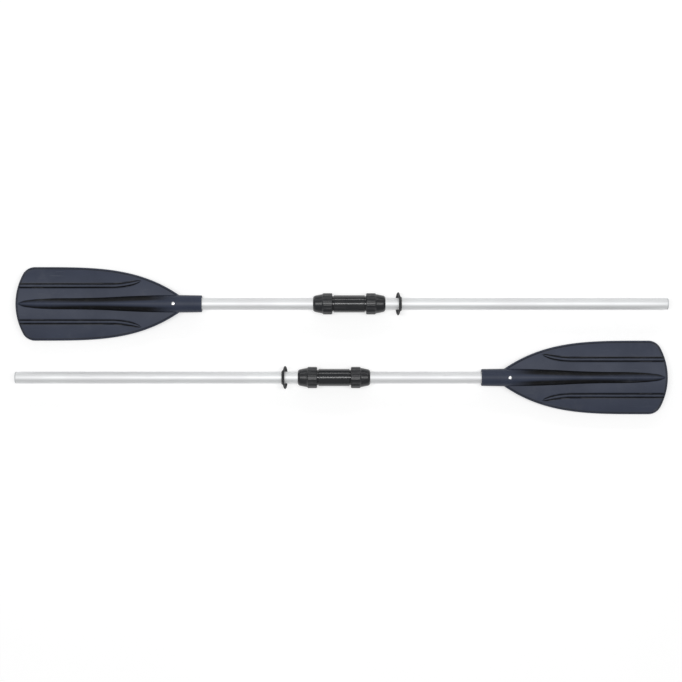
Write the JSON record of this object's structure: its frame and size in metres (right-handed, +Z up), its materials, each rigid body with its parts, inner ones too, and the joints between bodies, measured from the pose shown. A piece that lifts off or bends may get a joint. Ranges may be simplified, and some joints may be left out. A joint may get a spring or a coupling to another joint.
{
  "type": "kayak paddle",
  "caption": "Take-apart single-bladed boat paddles lying head to tail: ribbed plastic blades, aluminium tubes, screw couplings and drip rings.",
  "frame": {"origin": "on the ground under the middle of the pair, halfway between the two shafts and halfway along them", "axes": "+X along the shafts, towards the left paddle's handle and the right paddle's blade; +Y towards the left paddle; +Z up"},
  "size_m": [1.372, 0.3102, 0.0485],
  "materials": {
    "blade_plastic": "fine-grained moulded polypropylene, dark slate blue",
    "rivet_metal": "bright aluminium blind rivet",
    "tube_aluminium": "satin anodised, fine lengthwise drawing lines",
    "plug_foam": "closed-cell foam plug",
    "coupling_plastic": "glossy black moulded plastic",
    "collet_plastic": "natural acetal",
    "nut_plastic": "satin black moulded plastic with grip ribs",
    "ring_rubber": "soft black rubber",
    "cap_plastic": "silver-grey moulded plastic"
  },
  "bodies": {
    "left_blade_half": {"left_blade": "blade_plastic", "left_blade_rivets": "rivet_metal", "left_front_tube": "tube_aluminium", "left_front_tube_plug": "plug_foam"},
    "left_sleeve": {"left_coupling_sleeve": "coupling_plastic"},
    "left_handle_half": {"left_handle_tube": "tube_aluminium", "left_handle_tube_plug": "plug_foam", "left_end_cap": "cap_plastic"},
    "left_front_collet": {"left_front_collet": "collet_plastic"},
    "left_front_nut": {"left_front_nut": "nut_plastic"},
    "left_rear_collet": {"left_rear_collet": "collet_plastic"},
    "left_rear_nut": {"left_rear_nut": "nut_plastic"},
    "left_drip_ring": {"left_drip_ring": "ring_rubber"},
    "right_blade_half": {"right_blade": "blade_plastic", "right_blade_rivets": "rivet_metal", "right_front_tube": "tube_aluminium", "right_front_tube_plug": "plug_foam"},
    "right_sleeve": {"right_coupling_sleeve": "coupling_plastic"},
    "right_handle_half": {"right_handle_tube": "tube_aluminium", "right_handle_tube_plug": "plug_foam", "right_end_cap": "cap_plastic"},
    "right_front_collet": {"right_front_collet": "collet_plastic"},
    "right_front_nut": {"right_front_nut": "nut_plastic"},
    "right_rear_collet": {"right_rear_collet": "collet_plastic"},
    "right_rear_nut": {"right_rear_nut": "nut_plastic"},
    "right_drip_ring": {"right_drip_ring": "ring_rubber"}
  },
  "joints": [
    {"name": "left_sleeve_pull", "type": "slide", "parent": "left_blade_half", "child": "left_sleeve", "axis": [1, 0, 0], "range_m": [0, 0.08]},
    {"name": "left_handle_pull", "type": "slide", "parent": "left_sleeve", "child": "left_handle_half", "axis": [1, 0, 0], "range_m": [0, 0.08]},
    {"name": "left_front_collet_release", "type": "slide", "parent": "left_sleeve", "child": "left_front_collet", "axis": [-1, 0, 0], "range_m": [0, 0.0081]},
    {"name": "left_front_nut_turn", "type": "hinge", "parent": "left_front_collet", "child": "left_front_nut", "pos_m": [-0.04, 0.0775, 0.02425], "axis": [-1, 0, 0], "range_deg": [0, 720]},
    {"name": "left_rear_collet_release", "type": "slide", "parent": "left_sleeve", "child": "left_rear_collet", "axis": [1, 0, 0], "range_m": [0, 0.0081]},
    {"name": "left_rear_nut_turn", "type": "hinge", "parent": "left_rear_collet", "child": "left_rear_nut", "pos_m": [0.072, 0.0775, 0.02425], "axis": [1, 0, 0], "range_deg": [0, 720]},
    {"name": "left_drip_ring_slide", "type": "slide", "parent": "left_handle_half", "child": "left_drip_ring", "axis": [1, 0, 0], "range_m": [-0.008, 0.54]},
    {"name": "right_sleeve_pull", "type": "slide", "parent": "right_blade_half", "child": "right_sleeve", "axis": [-1, 0, 0], "range_m": [0, 0.08]},
    {"name": "right_handle_pull", "type": "slide", "parent": "right_sleeve", "child": "right_handle_half", "axis": [-1, 0, 0], "range_m": [0, 0.08]},
    {"name": "right_front_collet_release", "type": "slide", "parent": "right_sleeve", "child": "right_front_collet", "axis": [1, 0, 0], "range_m": [0, 0.0081]},
    {"name": "right_front_nut_turn", "type": "hinge", "parent": "right_front_collet", "child": "right_front_nut", "pos_m": [0.04, -0.0775, 0.02425], "axis": [1, 0, 0], "range_deg": [0, 720]},
    {"name": "right_rear_collet_release", "type": "slide", "parent": "right_sleeve", "child": "right_rear_collet", "axis": [-1, 0, 0], "range_m": [0, 0.0081]},
    {"name": "right_rear_nut_turn", "type": "hinge", "parent": "right_rear_collet", "child": "right_rear_nut", "pos_m": [-0.072, -0.0775, 0.02425], "axis": [-1, 0, 0], "range_deg": [0, 720]},
    {"name": "right_drip_ring_slide", "type": "slide", "parent": "right_handle_half", "child": "right_drip_ring", "axis": [-1, 0, 0], "range_m": [-0.008, 0.54]},
    {"name": "right_paddle_lift", "type": "slide", "parent": "left_blade_half", "child": "right_blade_half", "axis": [0, 0, 1], "range_m": [0, 0.3]}
  ],
  "couplings": [
    {"joint": "left_front_collet_release", "follows": "left_front_nut_turn", "m_per_rad": 0.00063662},
    {"joint": "left_rear_collet_release", "follows": "left_rear_nut_turn", "m_per_rad": 0.00063662},
    {"joint": "right_front_collet_release", "follows": "right_front_nut_turn", "m_per_rad": 0.00063662},
    {"joint": "right_rear_collet_release", "follows": "right_rear_nut_turn", "m_per_rad": 0.00063662}
  ]
}
